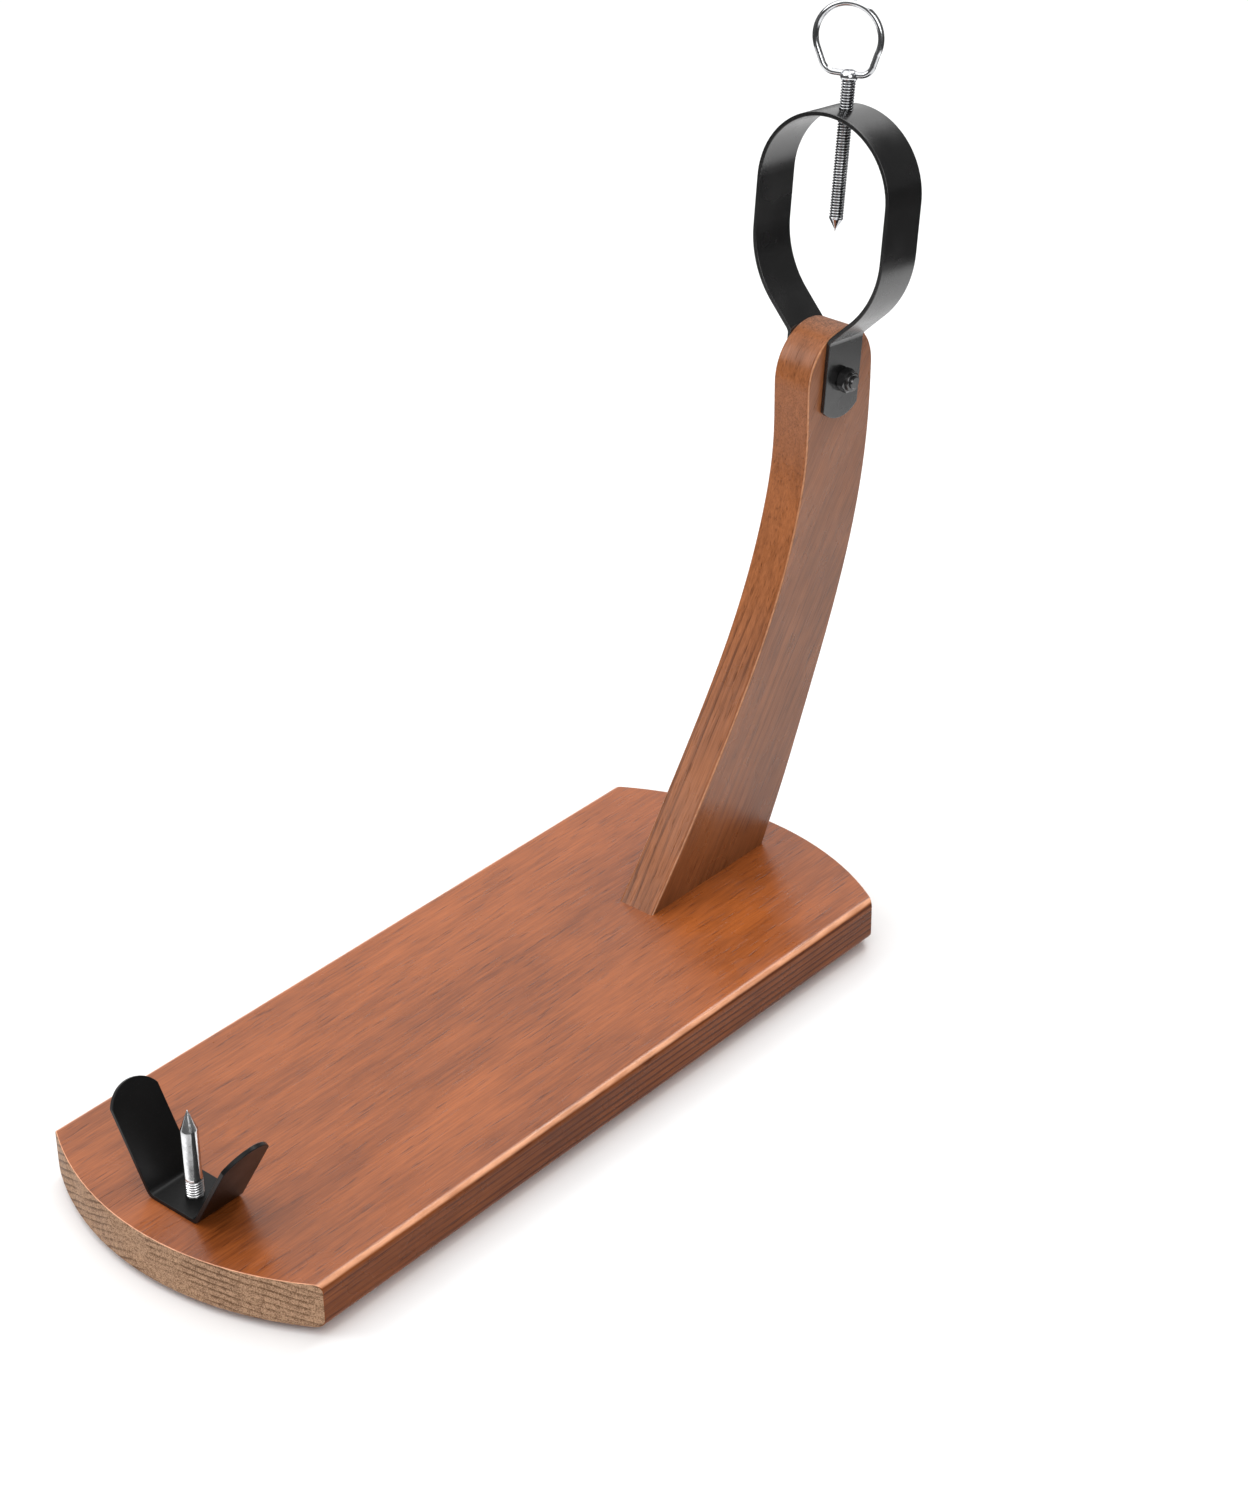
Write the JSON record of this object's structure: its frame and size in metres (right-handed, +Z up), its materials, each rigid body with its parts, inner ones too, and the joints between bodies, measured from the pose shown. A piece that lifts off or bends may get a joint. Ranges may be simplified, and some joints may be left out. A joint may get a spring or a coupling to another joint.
{
  "type": "ham holder stand",
  "caption": "Wooden ham stand with a curved column, a tilting black steel hoop with a clamp screw, and a V cradle with a spike.",
  "frame": {"origin": "on the ground plane under the middle of the whole stand's outline, 29.5 mm from the board's middle towards the column", "axes": "+X from the cradle end to the column end along the board, +Y towards the side of the pivot bolt's head, +Z up"},
  "size_m": [0.467, 0.16, 0.42],
  "materials": {
    "board_wood": "stained softwood, satin varnish, end grain raw",
    "column_wood": "stained softwood, satin varnish",
    "black_paint": "satin black paint on mild steel strip",
    "black_steel": "black oxide steel fastener",
    "nylon": "black nylon insert",
    "zinc": "bright zinc plated steel",
    "bright_steel": "bright turned steel",
    "plain_steel": "zinc plated steel fastener",
    "rubber": "matt black rubber"
  },
  "bodies": {
    "frame": {"base_board": "board_wood", "column": "column_wood", "column_screws": "plain_steel", "pivot_bolt": "black_steel", "pivot_washer": "black_steel", "pivot_lock_nut": "black_steel", "lock_nut_ring": "nylon", "cradle_bracket": "black_paint", "spike": "bright_steel", "spike_washer": "plain_steel", "spike_nut": "plain_steel", "rubber_feet": "rubber", "foot_screws": "plain_steel"},
    "hoop_body": {"hoop": "black_paint"},
    "screw_feed": {"screw_point": "zinc"},
    "screw_body": {"clamp_screw": "zinc", "screw_loop": "zinc", "loop_weld": "zinc"}
  },
  "joints": [
    {"name": "hoop_tilt", "type": "hinge", "parent": "frame", "child": "hoop_body", "pos_m": [0.2079, 0, 0.251], "axis": [0, 1, 0], "range_deg": [-152, 150]},
    {"name": "clamp_feed", "type": "slide", "parent": "hoop_body", "child": "screw_feed", "axis": [0.108, 0, 0.9942], "range_m": [-0.0125, 0.044]},
    {"name": "clamp_turn", "type": "hinge", "parent": "screw_feed", "child": "screw_body", "pos_m": [0.2187, 0, 0.35041], "axis": [0.108, 0, 0.9942], "range_deg": [-3544, 12473]}
  ],
  "couplings": [
    {"joint": "clamp_turn", "follows": "clamp_feed", "rad_per_m": 4947.4}
  ]
}
